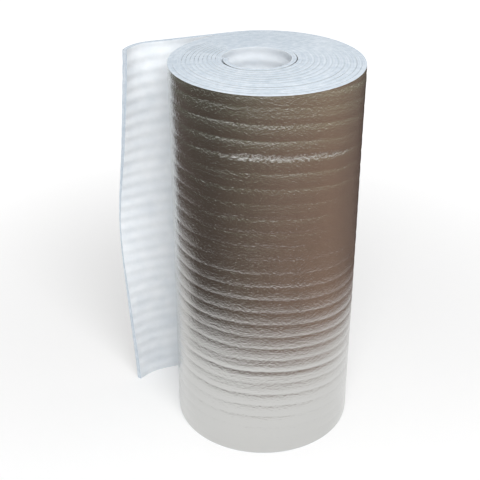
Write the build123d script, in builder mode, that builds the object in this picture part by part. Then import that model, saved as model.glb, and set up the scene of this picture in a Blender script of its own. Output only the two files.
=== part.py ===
# Insulation roll: foil-faced foam sheet, wound on itself without a core and standing on its end.
# Millimetres, +Z up. The origin is on the bore's axis, in the plane that the roll stands on.
import os
from math import radians

from build123d import *

# The sheet
sheet_width = 1000  # the height of the standing roll
sheet_thickness = 12

# The winding, seen from above: the sheet runs outwards anticlockwise from its inner end
bore_diameter = 164
inner_end_angle = 180  # where the sheet starts, at the left of the bore
inner_end_depth = 8  # from the bore's wall to the start of the seam between the turns
full_turns = 11
last_turn_sweep = 292  # degrees from the last full turn to the line where the sheet leaves the roll
off_centre_x = 20  # from the bore's axis to the centre of the outer turns
off_centre_y = -10
drifting_turns = 10  # the inner turns, over which the centre moves away from the bore's axis

# The seam between the turns, which shows as a V-shaped groove on both ends and as a slit in the bore
groove_width = 1.6
groove_depth = 2
groove_lean = 0.3  # its bottom lies this far inside the seam, clear of the line where the sheet leaves
slit_width = 1.2
seam_run_out = 6  # degrees that the groove goes on into the gap behind the loose end

# The loose end of the sheet, which stands on its edge beside the roll
loose_straight = 215  # from the line where it leaves the roll
foot_curl = 91  # the curling stretch beyond that, measured along the sheet at five heights
lower_curl = 101
middle_curl = 107  # the cut end is bowed, so the sheet is longest here
upper_curl = 94
top_curl = 88
foot_curl_angle = 36  # degrees that the curling stretch turns towards the roll, at the same heights
lower_curl_angle = 23
middle_curl_angle = 5
upper_curl_angle = 32
top_curl_angle = 56

quarter_turn = 90
whole_turn = 360
drift_per_turn = Vector(off_centre_x, off_centre_y) / drifting_turns
seam_sweep = whole_turn * full_turns + last_turn_sweep


def heading(angle):
    """The direction of an angle in plan."""
    return Vector(1, 0).rotate(Axis.Z, angle)


def winding(start, stop):
    """The outer face of the sheet in plan, between two sweeps in degrees from its inner end.

    It is a spiral of quarter-turn arcs. At each joint the centre steps back along the joint's own
    direction, so that neighbouring arcs stay tangent while the radius grows by one thickness a turn.
    """
    arcs = []
    centre = Vector(0, 0)
    radius = bore_diameter / 2 + inner_end_depth
    for turned in range(0, int(stop), quarter_turn):
        if turned > 0:
            joint = heading(inner_end_angle + turned)
            growth = sheet_thickness * quarter_turn / whole_turn
            if turned <= whole_turn * drifting_turns:
                growth -= drift_per_turn.dot(joint) / 2
            centre -= joint * growth
            radius += growth
        first = max(turned, start)
        last = min(turned + quarter_turn, stop)
        if last > first:
            arcs.append((centre, radius, inner_end_angle + first, last - first))
    return arcs


def sheet_length():
    """The length of the whole sheet, along the middle of its thickness."""
    wound = winding(0, seam_sweep + whole_turn)
    turns = sum((radius - sheet_thickness / 2) * radians(arc_angle) for _, radius, _, arc_angle in wound)
    return turns + loose_straight + middle_curl


# The line where the sheet leaves the roll, in plan: the step from the turn below to the outer face
last_turn_arcs = winding(seam_sweep, seam_sweep + whole_turn)
leave_angle = inner_end_angle + seam_sweep
outwards = heading(leave_angle)
onwards = heading(leave_angle + quarter_turn)
below_centre, below_radius, _, _ = last_turn_arcs[0]
leave_inside = below_centre + outwards * below_radius
leave_outside = leave_inside + outwards * sheet_thickness

with BuildSketch() as turns_outline:
    with BuildLine():
        for centre, radius, first, arc_angle in last_turn_arcs:
            CenterArc(centre, radius, first, arc_angle)
        Line(leave_inside, leave_outside)
    make_face()
    Circle(bore_diameter / 2, mode=Mode.SUBTRACT)

seam_arcs = winding(0, seam_sweep + seam_run_out)
seam_start_centre, seam_start_radius, _, _ = seam_arcs[0]
seam_start = seam_start_centre + heading(inner_end_angle) * seam_start_radius
groove_section = Plane(seam_start, heading(inner_end_angle), heading(inner_end_angle - quarter_turn))

with BuildPart() as seam_groove:
    with BuildLine():
        for centre, radius, first, arc_angle in seam_arcs:
            CenterArc(centre, radius, first, arc_angle)
    with BuildSketch(groove_section):
        with BuildLine():
            Polyline(
                (-groove_width / 2, 0), (groove_width / 2, 0), (-groove_lean, groove_depth), close=True
            )
        make_face()
    sweep()

with BuildSketch() as slit_outline:
    with Locations(heading(inner_end_angle) * (bore_diameter + inner_end_depth) / 2):
        Rectangle(inner_end_depth + slit_width, slit_width, rotation=inner_end_angle)


def loose_outline(curl, curl_angle):
    """The loose end in plan: a straight stretch tangent to the roll, then an arc."""
    bend_radius = curl / radians(curl_angle)
    with BuildSketch() as outline:
        with BuildLine():
            Line(leave_inside, leave_outside)
            tips = []
            for root, offset in ((leave_inside, -sheet_thickness / 2), (leave_outside, sheet_thickness / 2)):
                straight = Line(root, root + onwards * loose_straight)
                curled = JernArc(straight @ 1, onwards, bend_radius + offset, curl_angle)
                tips.append(curled @ 1)
            Line(tips)
        make_face()
    return outline.sketch


loose_outlines = (
    loose_outline(foot_curl, foot_curl_angle),
    loose_outline(lower_curl, lower_curl_angle),
    loose_outline(middle_curl, middle_curl_angle),
    loose_outline(upper_curl, upper_curl_angle),
    loose_outline(top_curl, top_curl_angle),
)
outline_spacing = sheet_width / (len(loose_outlines) - 1)

with BuildPart() as insulation_roll:
    add(turns_outline.sketch)
    extrude(amount=sheet_width)
    loft([Pos(0, 0, level * outline_spacing) * outline for level, outline in enumerate(loose_outlines)])
    add(seam_groove.part, mode=Mode.SUBTRACT)
    mirror(seam_groove.part, about=Plane.XY.offset(sheet_width / 2), mode=Mode.SUBTRACT)
    add(slit_outline.sketch)
    extrude(amount=sheet_width, mode=Mode.SUBTRACT)

insulation_roll.part.label = "insulation_roll"
os.makedirs("parts", exist_ok=True)
export_step(insulation_roll.part, "parts/insulation_roll.step")
print(f"outer diameter {last_turn_arcs[1][1] + last_turn_arcs[3][1]:.1f} mm")
print(f"sheet length {sheet_length():.0f} mm")
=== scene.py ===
import math

import bpy
from mathutils import Matrix, Vector, noise


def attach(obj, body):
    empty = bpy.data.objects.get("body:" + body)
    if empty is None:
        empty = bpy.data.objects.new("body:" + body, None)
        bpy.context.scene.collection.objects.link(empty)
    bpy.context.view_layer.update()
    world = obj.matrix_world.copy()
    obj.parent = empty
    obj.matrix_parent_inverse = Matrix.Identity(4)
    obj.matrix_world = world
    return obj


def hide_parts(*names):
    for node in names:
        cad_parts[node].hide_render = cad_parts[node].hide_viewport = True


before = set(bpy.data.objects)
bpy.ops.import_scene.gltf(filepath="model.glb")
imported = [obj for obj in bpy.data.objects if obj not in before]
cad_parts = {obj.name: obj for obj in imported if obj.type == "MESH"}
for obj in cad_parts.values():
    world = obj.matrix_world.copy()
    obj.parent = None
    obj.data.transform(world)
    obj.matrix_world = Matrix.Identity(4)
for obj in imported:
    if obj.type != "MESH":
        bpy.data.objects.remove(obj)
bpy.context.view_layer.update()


def toLinear(hexColour):  # an sRGB hex colour as the linear RGBA that shaders take
    parts = [int(hexColour[i:i + 2], 16) / 255 for i in (0, 2, 4)]
    return [c / 12.92 if c <= 0.04045 else ((c + 0.055) / 1.055) ** 2.4 for c in parts] + [1.0]


def addNode(tree, kind, settings=None, sockets=None):  # a socket takes a plain value or another node's output
    node = tree.nodes.new(kind)
    for name, value in (settings or {}).items():
        setattr(node, name, value)
    for name, value in (sockets or {}).items():
        if isinstance(value, bpy.types.NodeSocket):
            tree.links.new(value, node.inputs[name])
        else:
            node.inputs[name].default_value = value
    return node


def mathNode(tree, operation, *values):
    return addNode(tree, "ShaderNodeMath", {"operation": operation}, dict(enumerate(values))).outputs[0]


def mapRange(tree, value, fromRange, toRange, interpolation="LINEAR"):
    return addNode(tree, "ShaderNodeMapRange", {"interpolation_type": interpolation},
                   {"Value": value, "From Min": fromRange[0], "From Max": fromRange[1],
                    "To Min": toRange[0], "To Max": toRange[1]}).outputs["Result"]


def noiseNode(tree, vector, scale, detail, roughness=0.5, distortion=0.0):
    return addNode(tree, "ShaderNodeTexNoise", None,
                   {"Vector": vector, "Scale": scale, "Detail": detail, "Roughness": roughness,
                    "Distortion": distortion}).outputs["Fac"]


def cellNode(tree, vector, size, feature, smoothness=0.5):  # distance from the middle of the nearest cell
    sockets = {"Vector": vector, "Scale": 1 / size}
    if feature == "SMOOTH_F1":
        sockets["Smoothness"] = smoothness
    return addNode(tree, "ShaderNodeTexVoronoi", {"feature": feature}, sockets).outputs["Distance"]


def bumpNode(tree, height, distance, under=None, strength=1.0):  # under is the normal of the relief below
    sockets = {"Height": height, "Distance": distance, "Strength": strength}
    if under is not None:
        sockets["Normal"] = under
    return addNode(tree, "ShaderNodeBump", None, sockets).outputs["Normal"]


def mixColours(tree, share, first, second, blend="MIX"):
    return addNode(tree, "ShaderNodeMix", {"data_type": "RGBA", "blend_type": blend},
                   {0: share, 6: first, 7: second}).outputs[2]


def fillRamp(tree, share, stops):  # stops are (position, linear colour), from first to last
    node = addNode(tree, "ShaderNodeValToRGB", None, {"Fac": share})
    ends = node.color_ramp.elements
    ends[0].position, ends[0].color = stops[0]
    ends[1].position, ends[1].color = stops[-1]
    for position, colour in stops[1:-1]:
        ends.new(position).color = colour
    return node.outputs["Color"]


def newMaterial(name):
    material = bpy.data.materials.new(name)
    material.use_nodes = True
    material.node_tree.nodes.clear()
    return material, material.node_tree


def deselectAll():
    if bpy.context.object and bpy.context.object.mode != "OBJECT":
        bpy.ops.object.mode_set(mode="OBJECT")
    bpy.ops.object.select_all(action="DESELECT")


def smoothNoise(x, y, seed):  # about -1 to 1, the same on every run
    return noise.noise(Vector((x, y, seed * 7.31))) * 1.6


def direction(degrees):
    return Vector((math.cos(math.radians(degrees)), math.sin(math.radians(degrees)), 0))


# The sheet and its winding, with the same sizes as the solid, in metres and degrees
winding = {
    "sheetWidth": 1.0,
    "sheetThickness": 0.012,
    "boreRadius": 0.082,
    "innerEndAngle": 180,
    "innerEndDepth": 0.008,
    "fullTurns": 11,
    "lastTurnSweep": 292,
    "offCentre": (0.020, -0.010),
    "driftingTurns": 10,
    "tolerance": 0.0006,  # how far a point may lie off the sheet and still be counted as in it
}
sheetWidth = winding["sheetWidth"]
sheetThickness = winding["sheetThickness"]


def windingArcs(start, stop):  # quarter-turn arcs as centre, radius, first angle and angle turned
    drift = Vector((*winding["offCentre"], 0)) / winding["driftingTurns"]
    centre = Vector((0, 0, 0))
    radius = winding["boreRadius"] + winding["innerEndDepth"]
    arcs = []
    for turned in range(0, math.ceil(stop), 90):
        if turned > 0:
            joint = direction(winding["innerEndAngle"] + turned)
            growth = sheetThickness / 4
            if turned <= 360 * winding["driftingTurns"]:
                growth -= drift.dot(joint) / 2
            centre = centre - joint * growth
            radius += growth
        first = max(turned, start)
        last = min(turned + 90, stop)
        if last > first:
            arcs.append((centre, radius, winding["innerEndAngle"] + first, last - first))
    return arcs


lastTurnStart = 360 * winding["fullTurns"] + winding["lastTurnSweep"]
lastTurnStop = lastTurnStart + 360
allArcs = windingArcs(0, lastTurnStop)


def startProfile(name, arc, depth, corner, rows):  # the sheet's section, standing at the start of an arc
    centre, radius, first, _ = arc
    outwards = direction(first)
    deselectAll()
    middle = centre + outwards * (radius - depth / 2)
    bpy.ops.mesh.primitive_plane_add(size=1, location=(middle.x, middle.y, sheetWidth / 2),
                                     rotation=(math.pi / 2, 0, math.radians(first)))
    piece = bpy.context.object
    piece.name = name
    piece.scale = (depth, sheetWidth, 1)
    bpy.ops.object.transform_apply(location=True, rotation=True, scale=True)
    bpy.ops.object.mode_set(mode="EDIT")
    bpy.ops.mesh.select_all(action="SELECT")
    bpy.ops.mesh.bevel(offset=corner, segments=2, affect="VERTICES")
    bpy.ops.mesh.delete(type="ONLY_FACE")
    for side, cuts in rows.items():  # the outer and inner edges get rows along the sheet's width
        for count in cuts:
            bpy.ops.mesh.select_all(action="DESELECT")
            bpy.ops.object.mode_set(mode="OBJECT")
            for edge in piece.data.edges:
                ends = [piece.data.vertices[i].co for i in edge.vertices]
                rise = abs(ends[0].z - ends[1].z)
                upright = rise > abs(ends[0].xy.length - ends[1].xy.length) * 50
                away = [(end - centre).dot(outwards) - (radius - depth / 2) for end in ends]
                edge.select = upright and all((a > 0) == (side == "outer") for a in away)
            bpy.ops.object.mode_set(mode="EDIT")
            bpy.ops.mesh.subdivide(number_cuts=count)
    bpy.ops.mesh.select_all(action="SELECT")
    return piece


def windProfile(arcs, stepLength, leastSteps):  # spins the selected section round each arc's centre in turn
    for centre, radius, _, turned in arcs:
        steps = max(leastSteps * turned / 90, radius * math.radians(turned) / stepLength)
        bpy.ops.mesh.spin(steps=max(2, round(steps)), angle=math.radians(turned),
                          center=(centre.x, centre.y, 0), axis=(0, 0, -1))  # anticlockwise seen from above


def closeEnds(piece):  # both cut ends of the strip get a face
    bpy.ops.mesh.select_all(action="DESELECT")
    bpy.ops.mesh.select_non_manifold(extend=False, use_wire=False, use_boundary=True,
                                     use_multi_face=False, use_non_contiguous=False, use_verts=False)
    bpy.ops.mesh.edge_face_add()
    bpy.ops.mesh.select_all(action="SELECT")
    bpy.ops.mesh.normals_make_consistent(inside=False)
    bpy.ops.object.mode_set(mode="OBJECT")


def degreesPast(first, angle):  # anticlockwise from the first angle, between -1 and 359
    return (angle - first + 1) % 360 - 1


def placeInWinding(point, arcs, depth):  # a point's arc, degrees along it, angle and depth in the sheet
    for k, (centre, radius, first, turned) in enumerate(arcs):
        offset = Vector((point.x - centre.x, point.y - centre.y, 0))
        below = radius - offset.length
        if -winding["tolerance"] < below < depth + winding["tolerance"]:
            angle = math.degrees(math.atan2(offset.y, offset.x))
            along = degreesPast(first, angle)
            if along <= turned + 1:
                return k, along, angle, below


def spaceBelow(index, angle):  # from the outer face of the sheet to the turn below, less the gap between them
    centre, radius, first, _ = allArcs[index]
    if index < 4:
        space = sheetThickness
    else:
        lowCentre, lowRadius, _, _ = allArcs[index - 4]
        space = radius - lowRadius - (lowCentre - centre).dot(direction(angle))
    return space - seamGapAt(90 * (index - 4) + degreesPast(first, angle))


# The inner turns: one strip of foam wound up, its film side out
innerTurns = {
    "builtDepth": 0.0095,  # thinner than the tightest turn, then grown to meet the turn below
    "seamGap": 0.00008,
    "cornerRadius": 0.0003,
    "stepLength": 0.011,
    "leastSteps": 15,
    "innermostRise": 0.003,  # the middle of the roll stands proud of its outer turns
    "riseCurve": 1.3,
    "unevenness": 0.0003,
    "unevenMean": 0.7,
    "unevenOver": 400,  # degrees
    "levelOver": 200,  # degrees over which the edge comes level with the outer turn's
    "looseSeams": [  # sweep of the middle, half length in degrees, gap in metres
        (3320, 38, 0.0007),
        (3385, 16, 0.0007),
        (1530, 40, 0.0006),
        (3790, 55, 0.0005),
        (180, 70, 0.0022),
    ],
    "flapLength": 85,  # degrees of the innermost end that springs off the turn behind it
    "flapReach": 0.009,
}


def seamGapAt(sweep):
    gap = innerTurns["seamGap"]
    for middle, half, extra in innerTurns["looseSeams"]:
        if abs(sweep - middle) < half:
            gap += extra * math.cos((sweep - middle) / half * math.pi / 2) ** 2
    return gap


def riseAt(sweep):  # height of the sheet's edge above the outer turn's
    share = max(0, 1 - sweep / lastTurnStart)
    wobble = innerTurns["unevenMean"] + smoothNoise(sweep / innerTurns["unevenOver"], 4.2, 3)
    fade = min(1, max(0, (lastTurnStart - sweep) / innerTurns["levelOver"]))
    rise = innerTurns["innermostRise"] * share ** innerTurns["riseCurve"]
    return max(0, rise + innerTurns["unevenness"] * wobble * fade)


wound = startProfile("inner_turns", allArcs[0], innerTurns["builtDepth"], innerTurns["cornerRadius"], {})
windProfile(windingArcs(0, lastTurnStart), innerTurns["stepLength"], innerTurns["leastSteps"])
closeEnds(wound)

woundDepths = []  # 0 on the film side and 1 on the foam side, for each point
for vertex in wound.data.vertices:  # the turns close up on each other, and their edges stand unevenly
    index, along, angle, below = placeInWinding(vertex.co, allArcs, innerTurns["builtDepth"])
    sweep = 90 * index + along
    share = below / innerTurns["builtDepth"]
    woundDepths.append(share)
    if sweep < innerTurns["flapLength"]:
        lift = (1 - sweep / innerTurns["flapLength"]) ** 2 * innerTurns["flapReach"]
        vertex.co -= direction(angle) * lift
    vertex.co -= direction(angle) * (share * (spaceBelow(index, angle) - innerTurns["builtDepth"]))
    vertex.co.z += riseAt(sweep)
print("inner turns", len(wound.data.polygons))

# The outer turn and the loose end: the same sheet, dense enough for its creases
outerTurn = {
    "cornerRadius": 0.0008,
    "stepLength": 0.0105,
    "leastSteps": 12,
    "rows": {"outer": [19, 19], "inner": [39]},  # cuts along the sheet's width, one after the other
    "looseStraight": 0.215,
    "curlLengths": [0.091, 0.101, 0.107, 0.094, 0.088],  # at five even heights, from the foot to the top
    "curlAngles": [36, 23, 5, 32, 56],
    "looseSteps": 34,
    "lowestPitch": 0.0335,  # from crease to crease at the foot, and how much more at the top
    "pitchGrowth": 0.006,
    "cushion": 0.0007,
    "cushionSunk": 0.6,  # the share of a cushion's height that lies below the sheet's face
    "creaseDepth": 0.00035,
    "creaseWidth": 0.0045,
    "strength": (0.2, 0.75, 1.3),  # of the weakest, the usual and the strongest stretches of a crease
    "strengthNoise": (0.6, 2.6, 3.1, 13),  # amount, scale along and across the sheet, and seed
    "wander": (0.005, 1.9, 2.4, 11),
    "waver": (0.0016, 11, 7, 12),
    "slack": (0.0006, 5.5, 4.5, 17),
    "droop": 0.028,  # the creases run lower on the right of the roll
    "strongCrease": 0.852,
    "rimFade": 0.012,  # the cushions die out towards both edges of the sheet
    "rimRounding": 0.0003,
    "rimReach": 0.014,
    "looseFrom": 0.0005,  # past the line where the sheet leaves the roll
    "looseMargin": 0.001,  # off the sheet's faces
    "filmWithin": 0.0004,  # of the outer face
}

outerArcs = windingArcs(lastTurnStart, lastTurnStop)
firstOuter = len(allArcs) - len(outerArcs)
outer = startProfile("outer_turn", outerArcs[0], sheetThickness, outerTurn["cornerRadius"], outerTurn["rows"])
windProfile(outerArcs, outerTurn["stepLength"], outerTurn["leastSteps"])
leaveAngle = winding["innerEndAngle"] + lastTurnStop
outwards = direction(leaveAngle)
onwards = direction(leaveAngle + 90)
longestCurl = max(outerTurn["curlLengths"])
looseLength = outerTurn["looseStraight"] + longestCurl
for step in range(outerTurn["looseSteps"]):
    bpy.ops.mesh.extrude_region_move(
        TRANSFORM_OT_translate={"value": onwards * looseLength / outerTurn["looseSteps"]})
closeEnds(outer)

leaveInside = outerArcs[0][0] + outwards * outerArcs[0][1]  # where the sheet leaves the turn below
arcLengths = [radius * math.radians(turned) for _, radius, _, turned in outerArcs]


def atHeight(values, height):  # between values given at even heights, on a smooth curve
    place = min(max(height / sheetWidth, 0), 1) * (len(values) - 1)
    k = min(int(place), len(values) - 2)
    t = place - k
    before = values[max(k - 1, 0)]
    after = values[min(k + 2, len(values) - 1)]
    a, b = values[k], values[k + 1]
    slopeA, slopeB = (b - before) / 2, (after - a) / 2
    return ((2 * t ** 3 - 3 * t ** 2 + 1) * a + (t ** 3 - 2 * t ** 2 + t) * slopeA
            + (3 * t ** 2 - 2 * t ** 3) * b + (t ** 3 - t ** 2) * slopeB)


def looseMiddle(along, height):  # the middle of the sheet on the loose end, and the way its film side faces
    straight = min(along, outerTurn["looseStraight"])
    middle = leaveInside + outwards * sheetThickness / 2 + onwards * straight
    if along <= straight:
        return middle, outwards
    curlLength = atHeight(outerTurn["curlLengths"], height)
    bendRadius = curlLength / math.radians(atHeight(outerTurn["curlAngles"], height))
    turned = (along - straight) / longestCurl * curlLength / bendRadius
    facing = Matrix.Rotation(turned, 3, "Z") @ outwards
    return middle - outwards * bendRadius + facing * bendRadius, facing


def unevenly(along, across, settings):  # a smooth random part of a crease's course or depth
    amount, scaleAlong, scaleAcross, seed = settings
    return amount * smoothNoise(along * scaleAlong, across * scaleAcross, seed)


def creasePhase(along, height, facingRight):  # a whole number on each crease, 0 on the strong one
    droop = outerTurn["droop"] * max(facingRight, 0) ** 2
    wander = unevenly(along, height, outerTurn["wander"])
    wander += unevenly(along, height, outerTurn["waver"])
    growth = outerTurn["pitchGrowth"]
    level = outerTurn["lowestPitch"] + growth * (height + droop + wander)
    strong = outerTurn["lowestPitch"] + growth * outerTurn["strongCrease"]
    return math.log(level / strong) / growth


def creaseRelief(along, height, phase):  # how far the film stands out between its creases
    crease = round(phase)
    pitch = outerTurn["lowestPitch"] + outerTurn["pitchGrowth"] * height
    weakest, usual, strongest = outerTurn["strength"]
    strength = min(max(usual + unevenly(along, crease, outerTurn["strengthNoise"]), weakest), strongest)
    between = phase - math.floor(phase)
    away = abs(phase - crease) * pitch
    relief = outerTurn["cushion"] * strength * (4 * between * (1 - between) - outerTurn["cushionSunk"])
    relief -= outerTurn["creaseDepth"] * strength * math.exp(-away / outerTurn["creaseWidth"])
    relief += unevenly(along, height, outerTurn["slack"])
    edge = min(height, sheetWidth - height)
    rounding = outerTurn["rimRounding"] * math.exp(-edge / outerTurn["rimReach"])
    return relief * min(max(edge / outerTurn["rimFade"], 0), 1) - rounding


outerDepths = []
outerCreases = []  # metres along the sheet and the crease phase, for each point
for vertex in outer.data.vertices:
    offset = vertex.co - leaveInside
    along = offset.dot(onwards)
    across = offset.dot(outwards)
    height = vertex.co.z
    margin = outerTurn["looseMargin"]
    if along > outerTurn["looseFrom"] and -margin < across < sheetThickness + margin:
        # the loose end, and the root of the gap behind it, which stays smooth
        below = sheetThickness - across
        middle, outside = looseMiddle(along, height)
        place = middle + outside * (sheetThickness / 2 - below)
        vertex.co = Vector((place.x, place.y, height))
        distance = sum(arcLengths) + along
    else:
        k, part, angle, below = placeInWinding(vertex.co, outerArcs, sheetThickness)
        outside = direction(angle)
        distance = sum(arcLengths[:k]) + outerArcs[k][1] * math.radians(part)
        space = spaceBelow(firstOuter + k, angle)
        vertex.co -= outside * (below / sheetThickness * (space - sheetThickness))
    phase = creasePhase(distance, height, outside.x)
    outerDepths.append(below / sheetThickness)
    outerCreases.append((distance, phase))
    if below < outerTurn["filmWithin"]:
        vertex.co += outside * creaseRelief(distance, height, phase)
print("outer turn and loose end", len(outer.data.polygons))

film = {
    "aluminium": "CACAC8",
    "roughness": (0.07, 0.18),  # in clear and in hazy patches
    "hazeScale": 14,
    "hazeWindow": (0.3, 0.7),  # the noise below and above which the film is all clear and all hazy
    "crinkleSize": 0.006,
    "crinkleDepth": 0.0009,
    "cellSize": 0.0036,  # the foam's cells print through the film; real ones are about half as wide
    "cellDepth": 0.00021,
    "creaseWidth": 0.32,  # as a share of the pitch
    "creaseDepth": 0.0011,
    "crumple": 0.16,  # how far a crease strays at its crumpled edges, as a share of the pitch
    "crumpleScale": 130,
    "strength": (0.04, 0.22),  # of the faint and the clear stretches of a crease
    "stretchScale": 6,
    "stretchWindow": (0.38, 0.68),
    "breakScale": 95,
    "breakWindow": (0.4, 0.62),
    "breakShare": (0.1, 1),  # what is left of a crease in its breaks and between them
    "pressed": {0: 1.0, 2: 0.12},  # creases pressed harder than the rest, by number
    "pressedShare": (1.1, 0.1),  # just right of the front of the roll, and away from it
    "pressedAt": 0.72,  # metres along the outer turn
    "pressedReach": (0.08, 0.22),
}

# Metallised polyethylene film, laminated hot: a soft mirror, creased across the web and pitted by the cells
metallisedFilm, tree = newMaterial("metallised_polyethylene_film")
place = addNode(tree, "ShaderNodeTexCoord").outputs["Object"]
creaseMap = addNode(tree, "ShaderNodeUVMap", {"uv_map": "creases"})
sheetPlace = addNode(tree, "ShaderNodeSeparateXYZ", None, {"Vector": creaseMap.outputs["UV"]})
along, phase = sheetPlace.outputs["X"], sheetPlace.outputs["Y"]
number = mathNode(tree, "ROUND", phase)
crumple = noiseNode(tree, place, film["crumpleScale"], 2)
strayed = mathNode(tree, "ADD", phase, mapRange(tree, crumple, (0, 1), (-film["crumple"], film["crumple"])))
creaseAway = mathNode(tree, "ABSOLUTE", mathNode(tree, "SUBTRACT", strayed, number))
creaseShape = mapRange(tree, creaseAway, (0, film["creaseWidth"]), (-1, 0), "SMOOTHSTEP")
spread = mathNode(tree, "MULTIPLY", number, 5.37)  # each crease reads its own part of the noise
creaseLine = addNode(tree, "ShaderNodeCombineXYZ", None, {"X": along, "Y": spread}).outputs["Vector"]
stretches = noiseNode(tree, creaseLine, film["stretchScale"], 2)
strength = mapRange(tree, stretches, film["stretchWindow"], film["strength"])
frontAway = mathNode(tree, "ABSOLUTE", mathNode(tree, "SUBTRACT", along, film["pressedAt"]))
pressedShare = mapRange(tree, frontAway, film["pressedReach"], film["pressedShare"], "SMOOTHSTEP")
for crease, extra in film["pressed"].items():
    isThisOne = mathNode(tree, "COMPARE", number, crease, 0.2)
    pressed = mathNode(tree, "MULTIPLY", mathNode(tree, "MULTIPLY", isThisOne, extra), pressedShare)
    strength = mathNode(tree, "ADD", strength, pressed)
breakNoise = noiseNode(tree, place, film["breakScale"], 3, 0.7)
breaks = mapRange(tree, breakNoise, film["breakWindow"], film["breakShare"])
creaseHeight = mathNode(tree, "MULTIPLY", creaseShape, mathNode(tree, "MULTIPLY", strength, breaks))
creaseBump = bumpNode(tree, creaseHeight, film["creaseDepth"])
crinkle = noiseNode(tree, place, 1 / film["crinkleSize"], 3, 0.6, 0.5)
crinkleBump = bumpNode(tree, crinkle, film["crinkleDepth"], creaseBump)
cells = cellNode(tree, place, film["cellSize"], "SMOOTH_F1", 0.6)
haze = noiseNode(tree, place, film["hazeScale"], 4)
shader = addNode(tree, "ShaderNodeBsdfPrincipled", None,
                 {"Base Color": toLinear(film["aluminium"]), "Metallic": 1.0,
                  "Roughness": mapRange(tree, haze, film["hazeWindow"], film["roughness"]),
                  "Normal": bumpNode(tree, cells, film["cellDepth"], crinkleBump)})
addNode(tree, "ShaderNodeOutputMaterial", None, {"Surface": shader.outputs["BSDF"]})

foam = {
    "colour": "F1F5F9",
    "greyer": "E3E9EF",
    "cloudScale": 22,
    "cloudWindow": (0.35, 0.75),
    "roughness": 0.68,
    "ior": 1.51,  # polyethylene
    "cellSize": 0.0022,  # real cells are about 1 mm across; drawn twice as coarse so that they show
    "cellDepth": 0.0003,
    "bandPitch": 0.034,
    "bandDepth": 0.0022,
    "bandWaver": 2.2,
}

# Extruded closed-cell polyethylene foam: a matt, slightly waxy white skin, faintly banded across the web
foamSkin, tree = newMaterial("extruded_polyethylene_foam_skin")
place = addNode(tree, "ShaderNodeTexCoord").outputs["Object"]
cloud = mapRange(tree, noiseNode(tree, place, foam["cloudScale"], 5, 0.6), foam["cloudWindow"], (0, 1))
stretch = addNode(tree, "ShaderNodeMapping", None, {"Vector": place, "Scale": (0.9, 0.9, 1.0)})
bands = addNode(tree, "ShaderNodeTexWave",
                {"wave_type": "BANDS", "bands_direction": "Z", "wave_profile": "SIN"},
                {"Vector": stretch.outputs["Vector"],
                 "Scale": math.pi / 10 / foam["bandPitch"],  # at scale 1 a wave is pi / 10 long
                 "Distortion": foam["bandWaver"],
                 "Detail": 2.0, "Detail Scale": 0.25, "Detail Roughness": 0.5})
bandBump = bumpNode(tree, bands.outputs["Fac"], foam["bandDepth"])
pores = cellNode(tree, place, foam["cellSize"], "SMOOTH_F1")
shader = addNode(tree, "ShaderNodeBsdfPrincipled", None,
                 {"Base Color": mixColours(tree, cloud, toLinear(foam["colour"]), toLinear(foam["greyer"])),
                  "Roughness": foam["roughness"], "IOR": foam["ior"],
                  "Normal": bumpNode(tree, pores, foam["cellDepth"], bandBump, 0.6)})
addNode(tree, "ShaderNodeOutputMaterial", None, {"Surface": shader.outputs["BSDF"]})

cutEdge = {
    "colour": "DFE7EF",
    "greyer": "C4D0DB",
    "mottleScale": 60,
    "mottleWindow": (0.3, 0.72),
    "streakScale": (9.0, 9.0, 4.5),  # long in the plane of the cut, short through the sheet
    "streakWindow": (0.35, 0.65),
    "streaks": (-0.25, 0.35),
    "roughness": 0.92,
    "poreDepth": 0.00045,
}

# The same foam where the web was slit: open cells, rougher and a little greyer, with faint knife streaks
foamCut, tree = newMaterial("slit_polyethylene_foam_edge")
place = addNode(tree, "ShaderNodeTexCoord").outputs["Object"]
cloudNoise = noiseNode(tree, place, cutEdge["mottleScale"], 6, 0.65)
cloud = mapRange(tree, cloudNoise, cutEdge["mottleWindow"], (0, 1))
depth = addNode(tree, "ShaderNodeAttribute", {"attribute_type": "GEOMETRY", "attribute_name": "sheetDepth"})
plan = addNode(tree, "ShaderNodeSeparateXYZ", None, {"Vector": place})
inSheet = addNode(tree, "ShaderNodeCombineXYZ", None,
                  {"X": plan.outputs["X"], "Y": plan.outputs["Y"], "Z": depth.outputs["Fac"]})
streakPlace = addNode(tree, "ShaderNodeMapping", None,
                      {"Vector": inSheet.outputs["Vector"], "Scale": cutEdge["streakScale"]})
streakNoise = noiseNode(tree, streakPlace.outputs["Vector"], 1, 2)
streaks = mapRange(tree, streakNoise, cutEdge["streakWindow"], cutEdge["streaks"])
mottle = addNode(tree, "ShaderNodeMath", {"operation": "ADD", "use_clamp": True}, {0: cloud, 1: streaks})
pores = cellNode(tree, place, foam["cellSize"], "F1")
shader = addNode(tree, "ShaderNodeBsdfPrincipled", None,
                 {"Base Color": mixColours(tree, mottle.outputs[0], toLinear(cutEdge["colour"]),
                                           toLinear(cutEdge["greyer"])),
                  "Roughness": cutEdge["roughness"], "IOR": foam["ior"],
                  "Normal": bumpNode(tree, pores, cutEdge["poreDepth"])})
addNode(tree, "ShaderNodeOutputMaterial", None, {"Surface": shader.outputs["BSDF"]})

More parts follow.
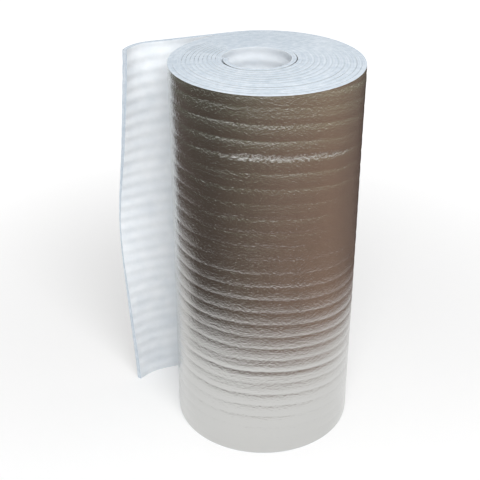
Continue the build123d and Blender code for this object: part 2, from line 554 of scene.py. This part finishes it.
# Skin on the inner side, film on the outer side and cut foam between, by the depth of each face's corners
skinSlot, filmSlot, cutSlot = 0, 1, 2
woundCreases = [(0, 0.5)] * len(woundDepths)  # the film between the turns isn't creased
for piece, depths, creases in ((wound, woundDepths, woundCreases), (outer, outerDepths, outerCreases)):
    for material in (foamSkin, metallisedFilm, foamCut):
        piece.data.materials.append(material)
    piece.data.attributes.new("sheetDepth", "FLOAT", "POINT").data.foreach_set("value", depths)
    creaseLayer = piece.data.uv_layers.new(name="creases")
    for loop in piece.data.loops:
        creaseLayer.data[loop.index].uv = creases[loop.vertex_index]
    for face in piece.data.polygons:
        corners = [depths[i] for i in face.vertices]
        if max(corners) < 0.01:
            face.material_index = filmSlot
        elif min(corners) > 0.99:
            face.material_index = skinSlot
        else:
            face.material_index = cutSlot
    deselectAll()
    piece.select_set(True)
    bpy.context.view_layer.objects.active = piece
    bpy.ops.object.shade_smooth_by_angle(angle=math.radians(20))  # the cut edges stay crisp
print("materials")

# Both meshes are the one sheet, so both stand for the CAD's roll
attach(wound, "root")
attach(outer, "root")
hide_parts("insulation_roll")
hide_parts("insulation_roll")

room = {
    "ambient": 0.57,
    "floorSize": 40,
    "floorColour": "E6E6E6",
    "floorGlow": (0.24, 0.64),  # near the roll and far from it
    "glowReach": (0.5, 2.6),
    "lamps": [  # name, place, size in metres and power in watts
        ("key", (0.4, -1.7, 2.5), 1.5, 40),
        ("fill", (-0.5, -2.6, 0.6), 1.6, 17),
    ],
    "lampAim": (0, 0, 0.5),
}


def seenDirectly(tree):  # 1 for what the camera sees, straight or in metal and glass
    rays = addNode(tree, "ShaderNodeLightPath").outputs
    either = mathNode(tree, "MAXIMUM", rays["Is Camera Ray"], rays["Is Glossy Ray"])
    return mathNode(tree, "MAXIMUM", either, rays["Is Transmission Ray"])


# A white room, dimmer where it lights the roll than where it is seen
world = bpy.data.worlds.new("studio")
bpy.context.scene.world = world
world.use_nodes = True
tree = world.node_tree
tree.nodes.clear()
skyStrength = mapRange(tree, seenDirectly(tree), (0, 1), (room["ambient"], 1))
sky = addNode(tree, "ShaderNodeBackground", None, {"Color": (1, 1, 1, 1), "Strength": skyStrength})
addNode(tree, "ShaderNodeOutputWorld", None, {"Surface": sky.outputs["Background"]})

# Matt white floor paint, which fades into the white room
floorPaint, tree = newMaterial("matt_white_floor")
place = addNode(tree, "ShaderNodeTexCoord").outputs["Object"]
fromRoll = addNode(tree, "ShaderNodeVectorMath", {"operation": "LENGTH"}, {0: place}).outputs["Value"]
glowStrength = mathNode(tree, "MULTIPLY", seenDirectly(tree),
                        mapRange(tree, fromRoll, room["glowReach"], room["floorGlow"], "SMOOTHSTEP"))
diffuse = addNode(tree, "ShaderNodeBsdfDiffuse", None, {"Color": toLinear(room["floorColour"])})
glow = addNode(tree, "ShaderNodeEmission", None, {"Color": (1, 1, 1, 1), "Strength": glowStrength})
both = addNode(tree, "ShaderNodeAddShader", None, {0: diffuse.outputs[0], 1: glow.outputs[0]})
addNode(tree, "ShaderNodeOutputMaterial", None, {"Surface": both.outputs[0]})

deselectAll()
bpy.ops.mesh.primitive_plane_add(size=room["floorSize"], location=(0, 0, 0))
floor = bpy.context.object
floor.name = "floor"
floor.data.materials.append(floorPaint)

# A glowing ring lies round the roll, out of the picture, unlit and casting no shadow, for the film to
# reflect: a painted reflection of a dull brown room
card = {
    "from": 0.42,  # its inner edge, and where it has faded in, later beside the loose end
    "full": (0.92, 1.6),
    "leftShare": [(0.80, 0.0), (0.93, 1.0), (1.0, 0.35)],  # share of a turn, and how late it fades in there
    "reach": 12.0,
    "lift": 0.002,
    "tones": [  # share of a turn from the left of the roll, anticlockwise, and the tone there
        (0.0, "5C564E"),
        (0.083, "5C564E"),
        (0.194, "776D60"),
        (0.30, "8F7F70"),
        (0.467, "9F8B79"),
        (0.594, "887A6E"),
        (0.66, "665B53"),
        (0.72, "45403D"),
        (0.889, "706A64"),
        (1.0, "5C564E"),
    ],
    "farFrom": (2.4, 3.4),
    "nearTint": "FAF0F4",
    "farTint": "E2F0EC",
    "farStrength": 1.7,
    "blotchScale": 7,
    "blotchWindow": (0.32, 0.68),
    "blotchStrength": (0.1, 1.9),
}

# Blotchy brown and grey glow rather than a lit board: a painted reflection, whose dark tones are what the
# upper part of the film shows
paintedReflectionGlow, tree = newMaterial("painted_reflection_brown_grey_glow")
place = addNode(tree, "ShaderNodeTexCoord").outputs["Object"]
aroundRoll = addNode(tree, "ShaderNodeTexGradient", {"gradient_type": "RADIAL"},
                     {"Vector": place}).outputs["Fac"]
fromRoll = addNode(tree, "ShaderNodeVectorMath", {"operation": "LENGTH"}, {0: place}).outputs["Value"]
tones = fillRamp(tree, aroundRoll, [(share, toLinear(tone)) for share, tone in card["tones"]])
farShare = mapRange(tree, fromRoll, card["farFrom"], (0, 1))
farTint = mixColours(tree, farShare, toLinear(card["nearTint"]), toLinear(card["farTint"]))
blotches = noiseNode(tree, place, card["blotchScale"], 5, 0.7)
blotchStrength = mapRange(tree, blotches, card["blotchWindow"], card["blotchStrength"])
cardStrength = mathNode(tree, "MULTIPLY", blotchStrength,
                        mapRange(tree, farShare, (0, 1), (1, card["farStrength"])))
# the ring glows in these tones without any lamp lighting it: painted reflection for the film
cardGlow = addNode(tree, "ShaderNodeEmission", None,
                   {"Color": mixColours(tree, 1.0, tones, farTint, "MULTIPLY"), "Strength": cardStrength})
leftShare = fillRamp(tree, aroundRoll, [(share, (late, late, late, 1)) for share, late in card["leftShare"]])
fullAt = mapRange(tree, leftShare, (0, 1), card["full"])
fadeIn = mapRange(tree, fromRoll, (card["from"], fullAt), (0, 1), "SMOOTHSTEP")
nothing = addNode(tree, "ShaderNodeBsdfTransparent")
cardSurface = addNode(tree, "ShaderNodeMixShader", None,
                      {0: fadeIn, 1: nothing.outputs[0], 2: cardGlow.outputs[0]})
addNode(tree, "ShaderNodeOutputMaterial", None, {"Surface": cardSurface.outputs[0]})

deselectAll()
bpy.ops.mesh.primitive_circle_add(vertices=96, radius=card["from"], location=(0, 0, card["lift"]))
ring = bpy.context.object
ring.name = "reflection_card"
bpy.ops.object.mode_set(mode="EDIT")
bpy.ops.mesh.select_all(action="SELECT")
bpy.ops.mesh.extrude_edges_move()
bpy.ops.transform.resize(value=(card["reach"] / card["from"],) * 2 + (1,))
bpy.ops.object.mode_set(mode="OBJECT")
ring.data.materials.append(paintedReflectionGlow)
ring.visible_camera = False
ring.visible_diffuse = False
ring.visible_shadow = False
ring.visible_transmission = False

for name, place, size, power in room["lamps"]:
    deselectAll()
    bpy.ops.object.light_add(type="AREA", location=place)
    lamp = bpy.context.object
    lamp.name = name
    lamp.data.shape = "DISK"
    lamp.data.size = size
    lamp.data.energy = power
    lamp.visible_glossy = False  # the film reflects the glowing card, which is a painted reflection, and the pale room, and no lamp
    lamp.rotation_euler = (Vector(room["lampAim"]) - lamp.location).to_track_quat("-Z", "Y").to_euler()

photo = {  # the camera fitted to the roll's outline in the photo, in metres, degrees and millimetres
    "place": (0.01875, -2.2174, 1.7429),
    "down": 29.08,
    "left": 1.574,
    "roll": 0.02,
    "lens": 72.79,
    "sensor": 36,
}
deselectAll()
bpy.ops.object.camera_add(location=photo["place"])
camera = bpy.context.object
camera.name = "photo_camera"
camera.data.sensor_width = photo["sensor"]
camera.data.lens = photo["lens"]
aim = (Matrix.Rotation(math.radians(photo["left"]), 3, "Z")
       @ Matrix.Rotation(math.radians(90 - photo["down"]), 3, "X")
       @ Matrix.Rotation(math.radians(photo["roll"]), 3, "Z"))
camera.rotation_euler = aim.to_euler()
bpy.context.scene.camera = camera
bpy.context.scene.view_settings.view_transform = "Standard"
print("stage")
